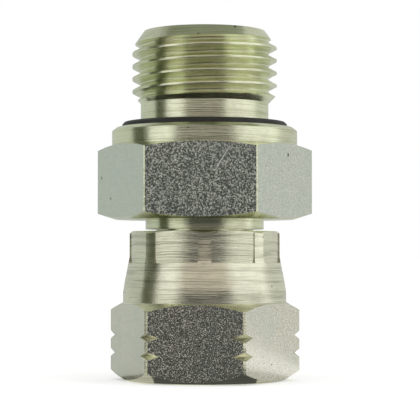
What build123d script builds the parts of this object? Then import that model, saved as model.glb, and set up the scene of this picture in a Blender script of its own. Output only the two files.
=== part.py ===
from build123d import *
from math import cos, radians, sin, tan
import os

# A straight hydraulic adapter that stands on the mouth of its swivel nut, stud up.
# Three pieces: the turned body, the seal ring in its flange and the nut crimped on its tail.
# Millimetres. The origin is on the axis, in the plane of the nut's mouth.
# Both fine threads are left uncut: the stud and the nut's bore have their major diameters.

# The nut's bore starts with a 3/4 inch thread of 16 turns to the inch, which ends just short
# of the tail. The wall outside it makes the hexagon 24 mm across its flats
nut_thread_major = 19.05
nut_thread_wall = 2.475
thread_end_gap = 0.2

# The nut's hexagon, cut from bar and turned at both ends. As it stands it has turned a few
# degrees away from the body's flats, clockwise seen from above
nut_turn = -3.95
nut_corner_break = 0.145
nut_face_margin = 0.5
nut_hex_height = 11.2
nut_mouth_bevel = 33.0
nut_top_bevel = 30.0

# Two notches turned in the hexagon's corners, the mark of an inch thread
notch_heights = (3.92, 6.48)
notch_depth = 0.72
notch_opening = 1.15

# The nut's skirt leans in over a shoulder and a taper to a collar, which eight jaws have pressed
# in behind the tail's head. Their prints, and the lip that they formed, reach below the collar
skirt_set_in = 0.2
skirt_length = 1.4
shoulder_length = 1.6
shoulder_set_in = 0.25
taper_length = 3.5
collar_wall = 2.0
collar_length = 3.7
collar_edge_break = 0.35
jaw_count = 8
jaw_land_angle = 9.0
jaw_land_turn = 6.35
jaw_edge_depth = 0.14
jaw_middle_depth = 0.32
jaw_print_drop = 0.85
lip_reach = 0.7

# The body's hexagon, the short stub below it and the flange above it
stub_length = 1.4
stub_diameter = 17.1
body_across_flats = 27.0
body_corner_break = 0.06
body_face_margin = 0.05
body_foot_margin = 0.6
body_bevel = 18.0
body_hex_height = 10.65
flange_lip_width = 1.41
flange_height = 2.6
flange_rim_drop = 0.5
flange_rim_width = 0.65

# The stud: a relief neck, then a parallel pipe thread of the 1/2 inch size
stud_length = 14.0
stud_thread_major = 20.955
neck_depth = 1.2275
neck_length = 3.55
neck_runout_angle = 45.0
stud_end_bevel_width = 1.6775
stud_end_bevel = 35.0

# The tail inside the nut, with a conical seat round the flow bore
tail_neck_diameter = 14.0
head_diameter = 17.0
head_length = 5.5
seat_rim_width = 0.6
seat_half_angle = 37.0
flow_bore_diameter = 10.0
flow_bore_edge_break = 0.5

# The elastomer seal ring lies in a recess in the flange's face, round the stud's neck
seal_width = 2.62
seal_thickness = 1.6
seal_stands_proud = 0.8
seal_edge_bevel = 0.3

# Running gaps round the tail, which let the nut turn and float, and the seal ring's side gap
nut_float = 0.3
head_shoulder_gap = 0.3
head_side_gap = 0.35
tail_neck_gap = 0.7
seal_side_gap = 0.06

# Diameters that follow from the sizes above
nut_across_flats = nut_thread_major + 2 * nut_thread_wall
nut_across_corners = nut_across_flats / cos(radians(30)) - 2 * nut_corner_break
nut_mouth_diameter = nut_across_flats - 2 * nut_face_margin
skirt_diameter = nut_across_flats - 2 * skirt_set_in
head_cavity_diameter = head_diameter + 2 * head_side_gap
lip_diameter = tail_neck_diameter + 2 * tail_neck_gap
collar_diameter = head_cavity_diameter + 2 * collar_wall
body_across_corners = body_across_flats / cos(radians(30)) - 2 * body_corner_break
body_face_diameter = body_across_flats - 2 * body_face_margin
body_foot_diameter = body_across_flats - 2 * body_foot_margin
neck_diameter = stud_thread_major - 2 * neck_depth
seal_bore_diameter = neck_diameter + 2 * seal_side_gap
seal_rim_diameter = seal_bore_diameter + 2 * seal_width
recess_diameter = seal_rim_diameter + 2 * seal_side_gap
flange_diameter = recess_diameter + 2 * flange_lip_width
stud_end_diameter = stud_thread_major - 2 * stud_end_bevel_width
seat_mouth_diameter = head_diameter - 2 * seat_rim_width

# Levels along the axis that follow from the sizes above
skirt_shoulder_height = nut_hex_height + skirt_length
taper_foot_height = skirt_shoulder_height + shoulder_length
collar_foot_height = taper_foot_height + taper_length
nut_height = collar_foot_height + collar_length
lip_foot_height = collar_foot_height - lip_reach
head_shoulder_height = lip_foot_height - head_shoulder_gap
head_face_height = head_shoulder_height - head_length
nut_thread_depth = head_face_height - thread_end_gap
stub_base = nut_height + nut_float
body_hex_base = stub_base + stub_length
body_hex_top = body_hex_base + body_hex_height
flange_face = body_hex_top + flange_height
neck_top = flange_face + neck_length
stud_end = flange_face + stud_length
recess_floor = flange_face + seal_stands_proud - seal_thickness
seal_top = flange_face + seal_stands_proud


def bevel_rise(outer_diameter, inner_diameter, angle):
    """How far a bevel runs along the axis, where it leans by this angle from square."""
    return (outer_diameter - inner_diameter) / 2 * tan(radians(angle))


def hexagonal_bar(across_flats, base, top, turn):
    """A hexagonal bar on the axis, with one of its flats turned by this angle from -Y."""
    with BuildPart() as bar:
        with BuildSketch(Plane.XY.offset(base)):
            RegularPolygon(across_flats / 2, 6, major_radius=False, rotation=turn)
        extrude(amount=top - base)
    return bar.part


# What one crimping jaw takes from the collar: all that lies outside a shallow arc
half_jaw_angle = 180 / jaw_count - jaw_land_angle / 2
jaw_edge_radius = collar_diameter / 2 - jaw_edge_depth
jaw_middle_radius = collar_diameter / 2 - jaw_middle_depth
jaw_edge_x = jaw_edge_radius * cos(radians(half_jaw_angle))
jaw_edge_y = jaw_edge_radius * sin(radians(half_jaw_angle))

with BuildPart() as jaw_print:
    with BuildSketch(Plane.XY.offset(collar_foot_height - jaw_print_drop)):
        with BuildLine():
            ThreePointArc(
                (jaw_edge_x, -jaw_edge_y), (jaw_middle_radius, 0), (jaw_edge_x, jaw_edge_y)
            )
            Polyline(
                (jaw_edge_x, jaw_edge_y),
                (collar_diameter, jaw_edge_y),
                (collar_diameter, -jaw_edge_y),
                (jaw_edge_x, -jaw_edge_y),
            )
        make_face()
    extrude(amount=jaw_print_drop + collar_length)

# The swivel nut is turned from hexagonal bar: a section of its hexagon, then one of its skirt
nut_corner_radius = nut_across_corners / 2
mouth_bevel_top = bevel_rise(nut_across_corners, nut_mouth_diameter, nut_mouth_bevel)
top_bevel_foot = nut_hex_height - bevel_rise(nut_across_corners, skirt_diameter, nut_top_bevel)

nut_hex_outline = [(nut_mouth_diameter / 2, 0), (nut_corner_radius, mouth_bevel_top)]
for notch_height in notch_heights:
    nut_hex_outline.append((nut_corner_radius, notch_height - notch_opening / 2))
    nut_hex_outline.append((nut_corner_radius - notch_depth, notch_height))
    nut_hex_outline.append((nut_corner_radius, notch_height + notch_opening / 2))
nut_hex_outline.append((nut_corner_radius, top_bevel_foot))

with BuildPart() as swivel_nut:
    with BuildSketch(Plane.XZ):
        with BuildLine():
            Polyline(
                *nut_hex_outline,
                (skirt_diameter / 2, nut_hex_height),
                (head_cavity_diameter / 2, nut_hex_height),
                (head_cavity_diameter / 2, nut_thread_depth),
                (nut_thread_major / 2, nut_thread_depth),
                (nut_thread_major / 2, 0),
                close=True,
            )
        make_face()
    revolve(axis=Axis.Z)
    add(hexagonal_bar(nut_across_flats, 0, nut_hex_height, nut_turn), mode=Mode.INTERSECT)
    with BuildSketch(Plane.XZ):
        with BuildLine():
            Polyline(
                (head_cavity_diameter / 2, nut_hex_height),
                (skirt_diameter / 2, nut_hex_height),
                (skirt_diameter / 2, skirt_shoulder_height),
                (skirt_diameter / 2 - shoulder_set_in, taper_foot_height),
                (collar_diameter / 2, collar_foot_height),
                (collar_diameter / 2, nut_height - collar_edge_break),
                (collar_diameter / 2 - collar_edge_break, nut_height),
                (lip_diameter / 2, nut_height),
                (lip_diameter / 2, lip_foot_height),
                (head_cavity_diameter / 2, lip_foot_height),
                close=True,
            )
        make_face()
    revolve(axis=Axis.Z)
    first_jaw_angle = nut_turn + jaw_land_turn - 90 + 180 / jaw_count
    with PolarLocations(0, jaw_count, start_angle=first_jaw_angle):
        add(jaw_print.part, mode=Mode.SUBTRACT, clean=False)

# The body is turned from larger hexagonal bar and bored through, with a seat in its tail:
# a section from the tail to the top of the hexagon, then one of the flange and the stud
body_corner_radius = body_across_corners / 2
body_top_bevel_height = bevel_rise(body_across_corners, body_face_diameter, body_bevel)
body_foot_bevel_height = bevel_rise(body_across_corners, body_foot_diameter, body_bevel)
runout_top = neck_top + bevel_rise(stud_thread_major, neck_diameter, neck_runout_angle)
end_bevel_foot = stud_end - bevel_rise(stud_thread_major, stud_end_diameter, 90 - stud_end_bevel)
seat_top = head_face_height + bevel_rise(
    seat_mouth_diameter, flow_bore_diameter, 90 - seat_half_angle
)

with BuildPart() as adapter_body:
    with BuildSketch(Plane.XZ):
        with BuildLine():
            Polyline(
                (seat_mouth_diameter / 2, head_face_height),
                (head_diameter / 2, head_face_height),
                (head_diameter / 2, head_shoulder_height),
                (tail_neck_diameter / 2, head_shoulder_height),
                (tail_neck_diameter / 2, stub_base),
                (stub_diameter / 2, stub_base),
                (stub_diameter / 2, body_hex_base),
                (body_foot_diameter / 2, body_hex_base),
                (body_corner_radius, body_hex_base + body_foot_bevel_height),
                (body_corner_radius, body_hex_top - body_top_bevel_height),
                (body_face_diameter / 2, body_hex_top),
                (flow_bore_diameter / 2, body_hex_top),
                (flow_bore_diameter / 2, seat_top),
                close=True,
            )
        make_face()
    revolve(axis=Axis.Z)
    add(hexagonal_bar(body_across_flats, head_face_height, body_hex_top, 0), mode=Mode.INTERSECT)
    with BuildSketch(Plane.XZ):
        with BuildLine():
            Polyline(
                (flow_bore_diameter / 2, body_hex_top),
                (flange_diameter / 2, body_hex_top),
                (flange_diameter / 2, flange_face - flange_rim_drop),
                (flange_diameter / 2 - flange_rim_width, flange_face),
                (recess_diameter / 2, flange_face),
                (recess_diameter / 2, recess_floor),
                (neck_diameter / 2, recess_floor),
                (neck_diameter / 2, neck_top),
                (stud_thread_major / 2, runout_top),
                (stud_thread_major / 2, end_bevel_foot),
                (stud_end_diameter / 2, stud_end),
                (flow_bore_diameter / 2 + flow_bore_edge_break, stud_end),
                (flow_bore_diameter / 2, stud_end - flow_bore_edge_break),
                close=True,
            )
        make_face()
    revolve(axis=Axis.Z)

# The seal ring sits on the floor of the recess, a loose fit between its wall and the neck
with BuildPart() as stud_seal_ring:
    with BuildSketch(Plane.XZ):
        with BuildLine():
            Polyline(
                (seal_bore_diameter / 2, recess_floor),
                (seal_rim_diameter / 2, recess_floor),
                (seal_rim_diameter / 2, seal_top - seal_edge_bevel),
                (seal_rim_diameter / 2 - seal_edge_bevel, seal_top),
                (seal_bore_diameter / 2, seal_top),
                close=True,
            )
        make_face()
    revolve(axis=Axis.Z)

adapter_body.part.label = "adapter_body"
swivel_nut.part.label = "swivel_nut"
stud_seal_ring.part.label = "stud_seal_ring"

os.makedirs("parts", exist_ok=True)
for piece in (adapter_body.part, swivel_nut.part, stud_seal_ring.part):
    export_step(piece, f"parts/{piece.label}.step")
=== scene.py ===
# %% [markdown]
# # A hydraulic adapter on a white table
#
# The adapter is a zinc-plated steel fitting. It stands on the mouth of its swivel nut, with the
# threaded stud up. The CAD model already has the true sizes, so this lesson starts from it and
# adds what a solid leaves out: the helical threads, the broken edges, the finish that turning,
# drawing and plating leave on the steel, and the light of a small studio.

# %% Load the CAD model as a fixed frame
import math

import bpy
from mathutils import Matrix, Vector


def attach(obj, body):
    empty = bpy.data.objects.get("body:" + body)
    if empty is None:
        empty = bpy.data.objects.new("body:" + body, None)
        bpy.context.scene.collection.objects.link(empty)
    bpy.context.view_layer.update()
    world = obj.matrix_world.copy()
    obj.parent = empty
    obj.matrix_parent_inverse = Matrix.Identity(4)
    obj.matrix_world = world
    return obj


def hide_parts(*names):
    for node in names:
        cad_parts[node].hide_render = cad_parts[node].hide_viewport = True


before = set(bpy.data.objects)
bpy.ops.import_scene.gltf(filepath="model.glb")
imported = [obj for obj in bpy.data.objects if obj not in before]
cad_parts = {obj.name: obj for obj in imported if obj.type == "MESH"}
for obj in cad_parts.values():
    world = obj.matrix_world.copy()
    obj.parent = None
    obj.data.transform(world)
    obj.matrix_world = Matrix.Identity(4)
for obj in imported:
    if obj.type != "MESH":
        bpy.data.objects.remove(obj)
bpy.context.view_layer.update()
millimetre = 0.001

print("nodes:", sorted(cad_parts))

# %% [markdown]
# ## The camera
#
# The photograph was taken from close by with a long lens, a little below the middle of the
# object, and a couple of degrees to the right of the body's front flat. From there the camera
# looks slightly up, so the stud's end face doesn't show, as in the photograph. The direction is
# built from axes, which is plainer than three angles: the camera looks along its own -Z, and +X
# is its right side.

# %% Place the camera
camera_azimuth = math.radians(2.4)
camera_distance = 254 * millimetre
camera_height = 18 * millimetre
aim_height = 24.5 * millimetre
aim_to_the_right = 0.78 * millimetre

right = Vector((math.cos(camera_azimuth), math.sin(camera_azimuth), 0))
towards_camera = Vector((math.sin(camera_azimuth), -math.cos(camera_azimuth), 0))
camera_place = towards_camera * camera_distance + Vector((0, 0, camera_height))
aim_point = right * aim_to_the_right + Vector((0, 0, aim_height))

bpy.ops.object.camera_add(location=camera_place)
camera = bpy.context.object
camera.name = "photo_camera"
camera.rotation_euler = (aim_point - camera_place).to_track_quat("-Z", "Y").to_euler()
camera.data.sensor_width = 36
camera.data.lens = 150.3
camera.data.clip_start = 0.01
camera.data.clip_end = 20
bpy.context.scene.camera = camera

print("camera at", [round(value, 4) for value in camera_place])

# %% [markdown]
# ## Small helpers
#
# An operator works on everything that is selected, and loading leaves the CAD nodes selected. So
# one helper selects a single object, and the others use it: to apply modifiers as soon as they
# have done their work, and to copy a CAD node.

# %% Helpers for selecting, copying and applying
merge_distance = 0.001 * millimetre
same_facet_angle = math.radians(0.6)


def select_only(piece):
    """Deselects everything, then selects one object and makes it active."""
    bpy.ops.object.select_all(action="DESELECT")
    piece.select_set(True)
    bpy.context.view_layer.objects.active = piece


def apply_modifiers(piece):
    """Applies every modifier of a piece, from the first to the last."""
    select_only(piece)
    for modifier in list(piece.modifiers):
        bpy.ops.object.modifier_apply(modifier=modifier.name)


def clean_copy(node_name, new_name):
    """A copy of a CAD node with its loose triangles merged into whole facets."""
    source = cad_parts[node_name]
    piece = bpy.data.objects.new(new_name, source.data.copy())
    bpy.context.scene.collection.objects.link(piece)
    piece.data.materials.clear()
    select_only(piece)
    if piece.data.has_custom_normals:
        bpy.ops.mesh.customdata_custom_splitnormals_clear()
    bpy.ops.object.mode_set(mode="EDIT")
    bpy.ops.mesh.select_all(action="SELECT")
    bpy.ops.mesh.remove_doubles(threshold=merge_distance)
    bpy.ops.mesh.dissolve_limited(angle_limit=same_facet_angle)
    bpy.ops.mesh.normals_make_consistent(inside=False)
    bpy.ops.object.mode_set(mode="OBJECT")
    return piece


def open_edges(piece):
    """How many edges of a mesh don't lie between exactly two faces."""
    faces_at = {}
    for polygon in piece.data.polygons:
        for key in polygon.edge_keys:
            faces_at[key] = faces_at.get(key, 0) + 1
    return sum(1 for count in faces_at.values() if count != 2)


def combine(piece, tool, operation):
    """Subtracts a tool from a piece or joins it on, and removes the tool."""
    boolean = piece.modifiers.new("combine", "BOOLEAN")
    boolean.operation = operation
    boolean.solver = "EXACT"
    boolean.object = tool
    apply_modifiers(piece)
    bpy.data.objects.remove(tool)
    print(piece.name, "faces:", len(piece.data.polygons), "open edges:", open_edges(piece))


print("helpers are ready")

# %% [markdown]
# ## The thread cutter
#
# A thread is what is left when a pointed tool runs along a turning bar. Here it is made the same
# way: a triangle, with its point rounded as a Whitworth thread's root is, is swept along a helix
# by a Screw modifier, and the sweep is then cut out of the stud. Modelling the ridge itself would
# leave a seam on the cylinder, and a bump map would leave a smooth outline, while the thread's
# outline is what the eye meets first.

# %% A helper that sweeps a triangle into a helix
steps_per_turn = 90
corners_at_the_point = 4


def helical_sweep(name, point_radius, depth, half_angle, root_radius, pitch, start, turns):
    """A triangle on the +X side, swept along a right-handed helix about the axis."""
    bpy.ops.object.select_all(action="DESELECT")
    bpy.ops.mesh.primitive_circle_add(
        vertices=3, radius=depth * 2 / 3, fill_type="NGON", rotation=(math.pi / 2, 0, 0)
    )
    sweep = bpy.context.object
    sweep.name = name
    bpy.ops.object.transform_apply(location=False, rotation=True, scale=False)

    # One corner of the triangle points to +Z. It is turned to face the axis, and the triangle,
    # whose half angle is 30 degrees, is widened or narrowed to the thread's
    sweep.data.transform(Matrix.Rotation(-math.pi / 2, 4, "Y"))
    widening = math.tan(half_angle) / math.tan(math.radians(30))
    sweep.data.transform(Matrix.Diagonal((1, 1, widening, 1)))
    lowest_x = min(vertex.co.x for vertex in sweep.data.vertices)
    sweep.data.transform(Matrix.Translation((point_radius - lowest_x, 0, start)))

    # The point is rounded, as the tool's nose is
    bpy.ops.object.mode_set(mode="EDIT")
    bpy.ops.mesh.select_all(action="DESELECT")
    bpy.ops.object.mode_set(mode="OBJECT")
    for vertex in sweep.data.vertices:
        vertex.select = vertex.co.x < point_radius + merge_distance
    bpy.ops.object.mode_set(mode="EDIT")
    bpy.ops.mesh.bevel(
        affect="VERTICES",
        offset=root_radius / math.tan(half_angle),
        segments=corners_at_the_point,
        profile=0.5,
    )
    bpy.ops.object.mode_set(mode="OBJECT")

    screw = sweep.modifiers.new("helix", "SCREW")
    screw.axis = "Z"
    screw.angle = 2 * math.pi
    screw.steps = steps_per_turn
    screw.render_steps = steps_per_turn
    screw.screw_offset = pitch
    screw.iterations = turns
    apply_modifiers(sweep)

    # The sweep is open at both ends. Each end gets a face
    bpy.ops.object.mode_set(mode="EDIT")
    bpy.ops.mesh.select_all(action="SELECT")
    bpy.ops.mesh.remove_doubles(threshold=merge_distance / 10)
    bpy.ops.mesh.fill_holes(sides=0)
    bpy.ops.mesh.select_all(action="SELECT")
    bpy.ops.mesh.normals_make_consistent(inside=False)
    bpy.ops.object.mode_set(mode="OBJECT")
    print(name, "faces:", len(sweep.data.polygons), "open edges:", open_edges(sweep))
    return sweep


# %% [markdown]
# ## The threaded body
#
# The stud has the parallel pipe thread of the half-inch size: 14 turns to the inch, a 55 degree
# profile, right-handed. The tool starts in the relief neck and runs out past the stud's end, as
# on a lathe. The groove's place on the helix is read from the photograph's outline.

# %% Cut the stud's thread
inch_in_millimetres = 25.4
stud_turns_to_the_inch = 14
stud_pitch = inch_in_millimetres / stud_turns_to_the_inch * millimetre
stud_major_radius = 10.4775 * millimetre
stud_groove_height = 41.58 * millimetre

# The Whitworth profile's measures are shares of its pitch
stud_sharp_height = 0.960491 * stud_pitch
stud_thread_depth = 0.640327 * stud_pitch
stud_root_radius = 0.137329 * stud_pitch

body = clean_copy("adapter_body", "threaded_body")
stud_tool = helical_sweep(
    "stud_tool",
    point_radius=stud_major_radius - stud_thread_depth - stud_sharp_height / 6,
    depth=stud_sharp_height,
    half_angle=math.radians(27.5),
    root_radius=stud_root_radius,
    pitch=stud_pitch,
    start=stud_groove_height - 2 * stud_pitch,
    turns=8,
)
combine(body, stud_tool, "DIFFERENCE")

# %% [markdown]
# ## The swivel nut
#
# The nut's own thread is hidden in the photograph and shows only from below. It is cut from the
# bore's side, so the tool would have to grow outwards, but the solid's bore already has the
# thread's major diameter. What is missing is the ridge between the grooves. A ridge with a wide
# foot in the wall and a narrow crest towards the axis is swept along the helix and joined on.

# %% Add the nut's thread
nut_turns_to_the_inch = 16
nut_pitch = inch_in_millimetres / nut_turns_to_the_inch * millimetre
nut_major_radius = 9.525 * millimetre
sharp_height_at_60_degrees = 0.866
nut_crest_height = 0.7 * nut_pitch * sharp_height_at_60_degrees

nut = clean_copy("swivel_nut", "crimped_nut")
nut_ridge = helical_sweep(
    "nut_ridge",
    point_radius=nut_major_radius - nut_crest_height,
    depth=0.8 * nut_pitch,
    half_angle=math.radians(30),
    root_radius=0.12 * nut_pitch,
    pitch=nut_pitch,
    start=1.6 * millimetre,
    turns=5,
)
combine(nut, nut_ridge, "UNION")

# %% [markdown]
# ## Broken edges
#
# No edge of a real fitting is sharp: the tool breaks it, the barrel rounds it and the plating
# covers it. A Bevel modifier with an angle limit rounds every true edge and leaves the facets of
# the round surfaces alone. The faces that it makes get a material of their own, because a worn
# edge is brighter than the surface beside it.

# %% A helper that rounds the edges of a steel piece
turned_slot = 0
drawn_slot = 1
edge_slot = 2
rounded_above = math.radians(28)
shaded_smooth_below = math.radians(24)


def break_edges(piece, width):
    """Rounds every edge sharper than the limit, and marks the new faces as worn edge."""
    bevel = piece.modifiers.new("broken_edges", "BEVEL")
    bevel.width = width
    bevel.segments = 3
    bevel.limit_method = "ANGLE"
    bevel.angle_limit = rounded_above
    bevel.material = edge_slot
    apply_modifiers(piece)
    bpy.ops.object.shade_smooth_by_angle(angle=shaded_smooth_below)

    # Large faces keep their own direction, and the shading bends only in the rounded edges
    weighting = piece.modifiers.new("large_faces_first", "WEIGHTED_NORMAL")
    weighting.mode = "FACE_AREA_WITH_ANGLE"
    weighting.keep_sharp = True
    apply_modifiers(piece)
    print(piece.name, "faces after rounding:", len(piece.data.polygons))


# %% [markdown]
# ## Effects that the finishes share
#
# Each effect is a node group with named inputs, so one recipe serves every material with its own
# values. The groups give back masks and heights only, and the shaders stay in the materials.

# %% Helpers for node trees
def new_group(name, inputs, outputs):
    """An empty shader group with float inputs and their defaults, and float outputs."""
    group = bpy.data.node_groups.new(name, "ShaderNodeTree")
    for label, default in inputs.items():
        socket = group.interface.new_socket(label, in_out="INPUT", socket_type="NodeSocketFloat")
        socket.default_value = default
    for label in outputs:
        group.interface.new_socket(label, in_out="OUTPUT", socket_type="NodeSocketFloat")
    return group, group.nodes.new("NodeGroupInput"), group.nodes.new("NodeGroupOutput")


def feed(tree, value, socket):
    """Gives an input socket its value: a number, or another node's output."""
    if isinstance(value, (int, float)):
        socket.default_value = value
    else:
        tree.links.new(value, socket)


def noise_in(tree, vector, scale, detail, roughness):
    """A Noise node's value, with its place given by a vector socket."""
    node = tree.nodes.new("ShaderNodeTexNoise")
    node.inputs["Detail"].default_value = detail
    node.inputs["Roughness"].default_value = roughness
    feed(tree, scale, node.inputs["Scale"])
    tree.links.new(vector, node.inputs["Vector"])
    return node.outputs["Fac"]


def maths(tree, operation, *operands):
    """The result of a Math node. Each operand is a socket or a number."""
    node = tree.nodes.new("ShaderNodeMath")
    node.operation = operation
    for operand, socket in zip(operands, node.inputs):
        feed(tree, operand, socket)
    return node.outputs[0]


def between(tree, value, low, high):
    """A mask that goes from 0 to 1 while the value goes from low to high."""
    node = tree.nodes.new("ShaderNodeMapRange")
    node.interpolation_type = "SMOOTHSTEP"
    feed(tree, low, node.inputs["From Min"])
    feed(tree, high, node.inputs["From Max"])
    tree.links.new(value, node.inputs["Value"])
    return node.outputs["Result"]


# %% [markdown]
# ### Turning marks
#
# A lathe tool leaves fine rings round the axis. A noise that changes quickly along the axis and
# outwards, and hardly at all round it, gives rings of uneven depth and spacing. It is fed the
# distance from the axis plus the height, and only a fiftieth of x and y, so each ring fades and
# returns slowly on its way round.

# %% Node group: turning marks
wide_rings_per_metre = 900.0
patches_per_metre = 420.0
change_on_the_way_round = 0.02

group, entry, leaving = new_group(
    "turning_marks", {"Rings per metre": 3600.0, "Broken up": 0.25}, ("Height", "Tone")
)
turning_marks = group
place = group.nodes.new("ShaderNodeTexCoord")
parts = group.nodes.new("ShaderNodeSeparateXYZ")
group.links.new(place.outputs["Object"], parts.inputs[0])
x_squared = maths(group, "POWER", parts.outputs["X"], 2.0)
y_squared = maths(group, "POWER", parts.outputs["Y"], 2.0)
distance = maths(group, "SQRT", maths(group, "ADD", x_squared, y_squared))

ring_place = group.nodes.new("ShaderNodeCombineXYZ")
group.links.new(maths(group, "ADD", parts.outputs["Z"], distance), ring_place.inputs["X"])
for source, target in (("X", "Y"), ("Y", "Z")):
    slow = maths(group, "MULTIPLY", parts.outputs[source], change_on_the_way_round)
    group.links.new(slow, ring_place.inputs[target])

rings = noise_in(group, ring_place.outputs[0], entry.outputs["Rings per metre"], 3.0, 0.65)
wide_rings = noise_in(group, ring_place.outputs[0], wide_rings_per_metre, 1.0, 0.5)
patches = noise_in(group, place.outputs["Object"], patches_per_metre, 2.0, 0.5)
faded = maths(group, "MULTIPLY", between(group, patches, 0.35, 0.65), entry.outputs["Broken up"])
height = maths(group, "MULTIPLY", rings, maths(group, "SUBTRACT", 1.0, faded))
tone = maths(
    group,
    "ADD",
    maths(group, "MULTIPLY", rings, 0.6),
    maths(group, "MULTIPLY", wide_rings, 0.4),
)
group.links.new(height, leaving.inputs["Height"])
group.links.new(tone, leaving.inputs["Tone"])
print("group:", group.name)

# %% [markdown]
# ### Grain, pits and stains
#
# The flats of a drawn hexagonal bar are not machined. Their skin has a crystalline grain a fifth
# of a millimetre across, single dark pits, and faint stains left by the plating bath. Only the
# grain's peaks are raised, so they sparkle one by one on a flat that is otherwise a mirror. The
# pits are sunk. Grain, pits and stains also come out as masks for colour and roughness.

# %% Node group: drawn skin
pit_sizes_per_metre = 600.0
stains_per_metre = 190.0

group, entry, leaving = new_group(
    "drawn_skin",
    {"Grains per metre": 4200.0, "Pits per metre": 700.0, "Pit amount": 0.5},
    ("Height", "Grain", "Pits", "Stains"),
)
drawn_skin = group
place = group.nodes.new("ShaderNodeTexCoord").outputs["Object"]
grain = noise_in(group, place, entry.outputs["Grains per metre"], 3.0, 0.7)

pit_cells = group.nodes.new("ShaderNodeTexVoronoi")
group.links.new(place, pit_cells.inputs["Vector"])
group.links.new(entry.outputs["Pits per metre"], pit_cells.inputs["Scale"])
pit_sizes = between(group, noise_in(group, place, pit_sizes_per_metre, 2.0, 0.5), 0.5, 0.8)
pit_reach = maths(group, "MULTIPLY", pit_sizes, entry.outputs["Pit amount"])
past_the_pit = between(
    group,
    pit_cells.outputs["Distance"],
    maths(group, "MULTIPLY", pit_reach, 0.5),
    maths(group, "ADD", pit_reach, 0.02),
)
pits = maths(group, "SUBTRACT", 1.0, past_the_pit)

peaks = between(group, grain, 0.52, 0.85)
height = maths(group, "SUBTRACT", peaks, maths(group, "MULTIPLY", pits, 0.5))
stains = between(group, noise_in(group, place, stains_per_metre, 4.0, 0.6), 0.42, 0.72)
for label, result in (("Height", height), ("Grain", grain), ("Pits", pits), ("Stains", stains)):
    group.links.new(result, leaving.inputs[label])
print("group:", group.name)

# %% [markdown]
# ## The steel's finishes
#
# Zinc with a thin passivated film reflects as a metal does, in a pale yellow-green. So all the
# finishes are metallic, and their colour is the colour of their reflections. A light surface
# reflects the white room and a dark one a grey card: the dark bands in the photograph are
# reflections, and none of them is painted.

# %% Helpers for materials
def new_metal(name):
    """A metallic material, and its node tree and shader."""
    material = bpy.data.materials.new(name)
    material.use_nodes = True
    tree = material.node_tree
    shader = tree.nodes["Principled BSDF"]
    shader.inputs["Metallic"].default_value = 1.0
    return material, tree, shader


def use_group(tree, group, **values):
    """The outputs of a node group, with its values given by input name."""
    node = tree.nodes.new("ShaderNodeGroup")
    node.node_tree = group
    for label, value in values.items():
        node.inputs[label.replace("_", " ")].default_value = value
    return node.outputs


def colour_between(tree, mask, first, second):
    """A colour that goes from the first to the second with the mask."""
    node = tree.nodes.new("ShaderNodeMix")
    node.data_type = "RGBA"
    for socket, colour in ((node.inputs[6], first), (node.inputs[7], second)):
        if isinstance(colour, tuple):
            socket.default_value = (*colour, 1.0)
        else:
            tree.links.new(colour, socket)
    tree.links.new(mask, node.inputs[0])
    return node.outputs[2]


def bump(tree, shader, height, depth):
    """Feeds a height, with its depth in metres, to the shader's normal."""
    node = tree.nodes.new("ShaderNodeBump")
    node.inputs["Distance"].default_value = depth
    tree.links.new(height, node.inputs["Height"])
    tree.links.new(node.outputs["Normal"], shader.inputs["Normal"])


def plated_colour(tree, skin, plating, stain_amount, stain, pit):
    """The plating's colour with its stains and pits."""
    stain_mask = maths(tree, "MULTIPLY", skin["Stains"], stain_amount)
    stained = colour_between(tree, stain_mask, plating, stain)
    return colour_between(tree, skin["Pits"], stained, pit)


# %% Turned steel
def turned_steel(name, light, dark, ring_depth):
    """Plated steel with rings from the lathe."""
    material, tree, shader = new_metal(name)
    marks = use_group(tree, turning_marks, Rings_per_metre=6200.0, Broken_up=0.22)
    skin = use_group(tree, drawn_skin, Pits_per_metre=520.0, Pit_amount=0.25)
    plating = colour_between(tree, between(tree, marks["Tone"], 0.38, 0.56), dark, light)
    tree.links.new(
        plated_colour(tree, skin, plating, 0.35, stain=(0.62, 0.56, 0.47), pit=(0.12, 0.13, 0.08)),
        shader.inputs["Base Color"],
    )
    stains_add = maths(tree, "MULTIPLY", skin["Stains"], 0.07)
    tree.links.new(maths(tree, "ADD", stains_add, 0.2), shader.inputs["Roughness"])
    bump(tree, shader, marks["Height"], ring_depth)
    return material


turned_body = turned_steel(
    "turned_body", light=(0.82, 0.85, 0.62), dark=(0.58, 0.61, 0.40), ring_depth=0.00003
)
turned_nut = turned_steel(
    "turned_nut", light=(0.87, 0.87, 0.68), dark=(0.55, 0.55, 0.42), ring_depth=0.00004
)
print("materials:", turned_body.name, turned_nut.name)

# %% Drawn hexagon flats
drawn_roughness = 0.12


def drawn_steel(name, light, dark, grain_depth):
    """Plated steel with the skin of drawn bar, and its node tree and shader."""
    material, tree, shader = new_metal(name)
    skin = use_group(
        tree, drawn_skin, Grains_per_metre=5600.0, Pits_per_metre=620.0, Pit_amount=0.3
    )
    plating = colour_between(tree, between(tree, skin["Grain"], 0.4, 0.6), dark, light)
    tree.links.new(
        plated_colour(tree, skin, plating, 0.4, stain=(0.66, 0.72, 0.66), pit=(0.10, 0.10, 0.07)),
        shader.inputs["Base Color"],
    )
    shader.inputs["Roughness"].default_value = drawn_roughness
    bump(tree, shader, skin["Height"], grain_depth)
    return material, tree, shader


drawn_body, body_tree, body_shader = drawn_steel(
    "drawn_body", light=(0.80, 0.84, 0.75), dark=(0.62, 0.66, 0.58), grain_depth=0.00005
)
drawn_nut = drawn_steel(
    "drawn_nut", light=(0.90, 0.88, 0.76), dark=(0.70, 0.68, 0.58), grain_depth=0.00004
)[0]
print("materials:", drawn_body.name, drawn_nut.name)

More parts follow.
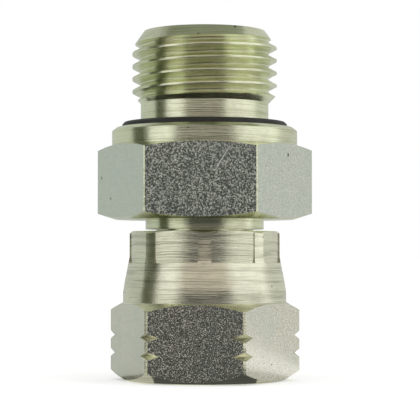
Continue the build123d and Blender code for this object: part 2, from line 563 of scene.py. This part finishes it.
# %% [markdown]
# The body's front flat has one scratch, from near its upper edge down to the left, with a nick at
# its end. A scratch is torn steel, so it is rough, and scatters light from all round where the
# flat beside it mirrors the dark card. Its mask is the distance to a line on the flat.

# %% The scratch on the body's front flat
body_half_width = 13.5
scratch_top = Vector((4.15, -body_half_width, 33.1)) * millimetre
scratch_end = Vector((2.27, -body_half_width, 30.15)) * millimetre
scratch_half_width = 0.075 * millimetre
nick_widening = 0.09 * millimetre
soft_side = 0.03 * millimetre
soft_start = 0.4 * millimetre
soft_end = 0.08 * millimetre
reach_off_the_flat = 0.1 * millimetre

scratch_length = (scratch_end - scratch_top).length
along = (scratch_end - scratch_top).normalized()
across = along.cross(Vector((0, -1, 0)))

place = body_tree.nodes.new("ShaderNodeTexCoord")
from_top = body_tree.nodes.new("ShaderNodeVectorMath")
from_top.operation = "SUBTRACT"
body_tree.links.new(place.outputs["Object"], from_top.inputs[0])
from_top.inputs[1].default_value = scratch_top


def distance_along(direction):
    """How far a point of the body lies from the scratch's top in a direction."""
    node = body_tree.nodes.new("ShaderNodeVectorMath")
    node.operation = "DOT_PRODUCT"
    body_tree.links.new(from_top.outputs[0], node.inputs[0])
    node.inputs[1].default_value = direction
    return node.outputs["Value"]


travelled = distance_along(along)
aside = maths(body_tree, "ABSOLUTE", distance_along(across))
off_flat = maths(body_tree, "ABSOLUTE", distance_along((0, 1, 0)))
at_the_nick = between(body_tree, travelled, scratch_length * 0.8, scratch_length)
widening = maths(body_tree, "MULTIPLY", at_the_nick, nick_widening)
half_width = maths(body_tree, "ADD", scratch_half_width, widening)
inside_by = maths(body_tree, "SUBTRACT", half_width, aside)
still_to_go = maths(body_tree, "SUBTRACT", scratch_length, travelled)

scratch = maths(
    body_tree,
    "MULTIPLY",
    between(body_tree, inside_by, 0.0, soft_side),
    between(body_tree, travelled, 0.0, soft_start),
)
scratch = maths(body_tree, "MULTIPLY", scratch, between(body_tree, still_to_go, 0.0, soft_end))
on_flat = maths(body_tree, "LESS_THAN", off_flat, reach_off_the_flat)
scratch = maths(body_tree, "MULTIPLY", scratch, on_flat)

rougher = maths(body_tree, "MULTIPLY", scratch, 0.6)
body_tree.links.new(
    maths(body_tree, "ADD", drawn_roughness, rougher), body_shader.inputs["Roughness"]
)
plating = body_shader.inputs["Base Color"].links[0].from_socket
body_tree.links.new(
    colour_between(body_tree, scratch, plating, (0.97, 0.98, 0.95)),
    body_shader.inputs["Base Color"],
)
print("scratch length in mm:", round(scratch_length * 1000, 2))

# %% Worn edges
worn_edge, tree, shader = new_metal("worn_edge")
bright = (0.86, 0.86, 0.72)
dull = tuple(channel * 0.75 for channel in bright)
skin = use_group(tree, drawn_skin, Grains_per_metre=3000.0)
stain_mask = maths(tree, "MULTIPLY", skin["Stains"], 0.6)
tree.links.new(colour_between(tree, stain_mask, bright, dull), shader.inputs["Base Color"])
shader.inputs["Roughness"].default_value = 0.24
bump(tree, shader, skin["Grain"], 0.00002)
print("material:", worn_edge.name)

# %% [markdown]
# ## Which face gets which finish
#
# The flats are the only surfaces that no tool has cut. They are found by place: a face belongs to
# a flat if it stands upright and lies at the hexagon's half width from the axis. The materials go
# on before the edges are rounded, because the Bevel modifier gives each new face a slot by number,
# and that slot has to be there.

# %% Give the faces their materials and round the edges
def finish_faces(piece, turned, drawn, half_width, turn, low, high):
    """Marks the faces of a hexagon's flats as drawn, and all others as turned. Sizes in mm."""
    for material in (turned, drawn, worn_edge):
        piece.data.materials.append(material)
    flats = 0
    for polygon in piece.data.polygons:
        centre = polygon.center / millimetre
        upright = low < centre.z < high and abs(polygon.normal.z) < 0.05
        reach = max(
            abs(centre.x * math.sin(angle) + centre.y * math.cos(angle))
            for angle in (turn, turn + math.pi / 3, turn - math.pi / 3)
        )
        is_flat = upright and abs(reach - half_width) < 0.01
        polygon.material_index = drawn_slot if is_flat else turned_slot
        flats += is_flat
    print(piece.name, "flat faces:", flats)


nut_half_width = 12.0
nut_turn = math.radians(-3.95)
finish_faces(body, turned_body, drawn_body, body_half_width, turn=0, low=23, high=34)
finish_faces(nut, turned_nut, drawn_nut, nut_half_width, turn=-nut_turn, low=0, high=11.3)

edge_width = 0.14 * millimetre
break_edges(body, edge_width)
break_edges(nut, edge_width)

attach(body, "body")
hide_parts("adapter_body")
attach(nut, "nut")
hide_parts("swivel_nut")

# %% [markdown]
# ## The seal ring
#
# The ring is a moulded elastomer. Its CAD shape is right as it is, so the node stays and only
# gets a material: nearly black, matt, with a faint grey bloom and a fine moulded grain.

# %% Black elastomer for the seal ring
elastomer = bpy.data.materials.new("black_elastomer")
elastomer.use_nodes = True
tree = elastomer.node_tree
shader = tree.nodes["Principled BSDF"]
skin = use_group(tree, drawn_skin, Grains_per_metre=5200.0)
black = (0.018, 0.018, 0.016)
bloom = (0.045, 0.045, 0.040)
tree.links.new(colour_between(tree, skin["Stains"], black, bloom), shader.inputs["Base Color"])
shader.inputs["Roughness"].default_value = 0.55
bump(tree, shader, skin["Grain"], 0.00002)

seal_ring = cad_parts["stud_seal_ring"]
for slot in seal_ring.material_slots:
    slot.material = elastomer
print("seal ring slots:", len(seal_ring.material_slots))

# %% [markdown]
# ## The table
#
# The photograph has a white ground and no visible table edge. A large white plane is lit to a
# pale grey, and a light of its own, for what is seen directly, mirrored or through glass, lifts
# it to white. So no horizon line shows, and the soft shadow at the nut's foot stays.

# %% The white table
def seen_directly(tree):
    """A mask that is 1 for what is seen, mirrored or seen through glass, and 0 for light."""
    path = tree.nodes.new("ShaderNodeLightPath").outputs
    seen = maths(tree, "MAXIMUM", path["Is Camera Ray"], path["Is Glossy Ray"])
    return maths(tree, "MAXIMUM", seen, path["Is Transmission Ray"])


table_lift = 0.36

bpy.ops.object.select_all(action="DESELECT")
bpy.ops.mesh.primitive_plane_add(size=12, location=(0, 0, 0))
table = bpy.context.object
table.name = "table"

table_paint = bpy.data.materials.new("white_table")
table_paint.use_nodes = True
tree = table_paint.node_tree
shader = tree.nodes["Principled BSDF"]
shader.inputs["Base Color"].default_value = (0.9, 0.9, 0.9, 1)
shader.inputs["Roughness"].default_value = 0.9
shader.inputs["Specular IOR Level"].default_value = 0.0
shader.inputs["Emission Color"].default_value = (1, 1, 1, 1)
lift = maths(tree, "MULTIPLY", seen_directly(tree), table_lift)
tree.links.new(lift, shader.inputs["Emission Strength"])
table.data.materials.append(table_paint)
print("table size:", [round(value, 2) for value in table.dimensions])

# %% [markdown]
# ## The light
#
# Polished metal shows its surroundings, so the surroundings are built: a white room, and grey
# cards that stand round the object where the photograph's metal shows dark bands. The gaps
# between the cards are the windows through which the metal sees the room. The cards are seen only
# in reflections. Two soft lamps at the sides light the table and the seal ring, and the metal
# doesn't show them. A card is modelled as an upright line with a foot along the floor, spun round
# the axis through the card's angle.

# %% The white room
room_light = 0.75

world = bpy.data.worlds.new("white_room")
bpy.context.scene.world = world
world.use_nodes = True
tree = world.node_tree
background = tree.nodes["Background"]
background.inputs["Color"].default_value = (1, 1, 1, 1)
lift = maths(tree, "MULTIPLY", seen_directly(tree), 1.0 - room_light)
tree.links.new(maths(tree, "ADD", lift, room_light), background.inputs["Strength"])
print("room light:", room_light)


# %% Two soft lamps
lamp_distance = 0.7
lamp_height = 0.42
lamp_aim = Vector((0, 0, 0.025))


def soft_lamp(name, azimuth, size, energy):
    """A square lamp that faces the object from an angle round the axis, in degrees."""
    around = camera_azimuth + math.radians(azimuth)
    outward = Vector((math.sin(around), -math.cos(around), 0))
    place = outward * lamp_distance + Vector((0, 0, lamp_height))
    bpy.ops.object.light_add(type="AREA", location=place)
    lamp = bpy.context.object
    lamp.name = name
    lamp.data.shape = "SQUARE"
    lamp.data.size = size
    lamp.data.energy = energy
    lamp.visible_glossy = False
    lamp.rotation_euler = (lamp_aim - place).to_track_quat("-Z", "Y").to_euler()
    return lamp


left_lamp = soft_lamp("left_lamp", azimuth=-55, size=0.4, energy=0.5)
right_lamp = soft_lamp("right_lamp", azimuth=62, size=0.5, energy=0.78)
print("lamps:", left_lamp.name, right_lamp.name)


# %% Grey cards
card_distance = 0.45
card_top = 0.6
dark_top = 0.085
window_foot_top = 0.012
floor_gap = 0.0001
nut_mouth_radius = 0.0115
foot_length = card_distance - nut_mouth_radius
degrees_per_step = 4


def hang(card, colour):
    """Paints a card with one even colour, and shows it to reflections only."""
    for ray in ("camera", "diffuse", "transmission", "shadow", "volume_scatter"):
        setattr(card, "visible_" + ray, False)
    paint = bpy.data.materials.new(card.name)
    paint.use_nodes = True
    paint.node_tree.nodes.clear()
    glow = paint.node_tree.nodes.new("ShaderNodeEmission")
    glow.inputs["Color"].default_value = (*colour, 1)
    out = paint.node_tree.nodes.new("ShaderNodeOutputMaterial")
    paint.node_tree.links.new(glow.outputs[0], out.inputs["Surface"])
    card.data.materials.append(paint)


def grey_card(name, first, last, colour, low, high, foot):
    """A curved card between two angles round the axis, in degrees from the camera."""
    bpy.ops.object.select_all(action="DESELECT")
    bpy.ops.mesh.primitive_plane_add(size=1, location=(0, 0, 0))
    card = bpy.context.object
    card.name = name
    bpy.ops.object.mode_set(mode="EDIT")
    bpy.ops.mesh.select_all(action="SELECT")
    bpy.ops.mesh.merge(type="CENTER")
    start = camera_azimuth + math.radians(first)
    outward = Vector((math.sin(start), -math.cos(start), 0))
    bpy.ops.transform.translate(value=outward * (card_distance - foot) + Vector((0, 0, low)))
    if foot > 0:
        bpy.ops.mesh.extrude_region_move(TRANSFORM_OT_translate={"value": outward * foot})
    bpy.ops.mesh.extrude_region_move(TRANSFORM_OT_translate={"value": (0, 0, high - low)})
    bpy.ops.mesh.select_all(action="SELECT")
    bpy.ops.mesh.spin(
        steps=max(4, int(abs(last - first) / degrees_per_step)),
        angle=math.radians(first - last),
        center=(0, 0, 0),
        axis=(0, 0, 1),
    )
    bpy.ops.object.mode_set(mode="OBJECT")
    hang(card, colour)

    corners = [vertex.co for vertex in card.data.vertices]
    turns = sorted(math.degrees(math.atan2(corner.x, -corner.y)) for corner in corners)
    print(card.name, "from", round(turns[0]), "to", round(turns[-1]), "degrees")


# Each row has a card's name, its first and last angle, its colour, its foot's height, its top
# and how far its foot reaches towards the axis
grey_card("front_card", -37, 38, (0.085, 0.09, 0.09), floor_gap, dark_top, foot_length)
grey_card("front_upper_card", -37, 38, (0.62, 0.56, 0.53), dark_top, card_top, 0)
grey_card("left_window_foot", -72, -37, (0.5, 0.5, 0.45), floor_gap, window_foot_top, foot_length)
grey_card("right_window_foot", 38, 88, (0.5, 0.5, 0.46), floor_gap, window_foot_top, foot_length)
grey_card("left_dark_card", -98, -72, (0.07, 0.08, 0.045), floor_gap, card_top, foot_length)
grey_card("left_back_card", -180, -98, (0.55, 0.58, 0.55), floor_gap, card_top, foot_length)
grey_card("right_back_card", 102, 180, (0.62, 0.63, 0.6), floor_gap, card_top, foot_length)

# %% A card overhead
bpy.ops.object.select_all(action="DESELECT")
bpy.ops.mesh.primitive_circle_add(
    vertices=48, radius=card_distance, fill_type="NGON", location=(0, 0, card_top)
)
overhead = bpy.context.object
overhead.name = "overhead_card"
hang(overhead, (0.24, 0.26, 0.21))
print(overhead.name, "at", round(overhead.location.z, 2), "m")

# %% Colours are shown as they are
bpy.context.scene.view_settings.view_transform = "Standard"
print("view transform:", bpy.context.scene.view_settings.view_transform)
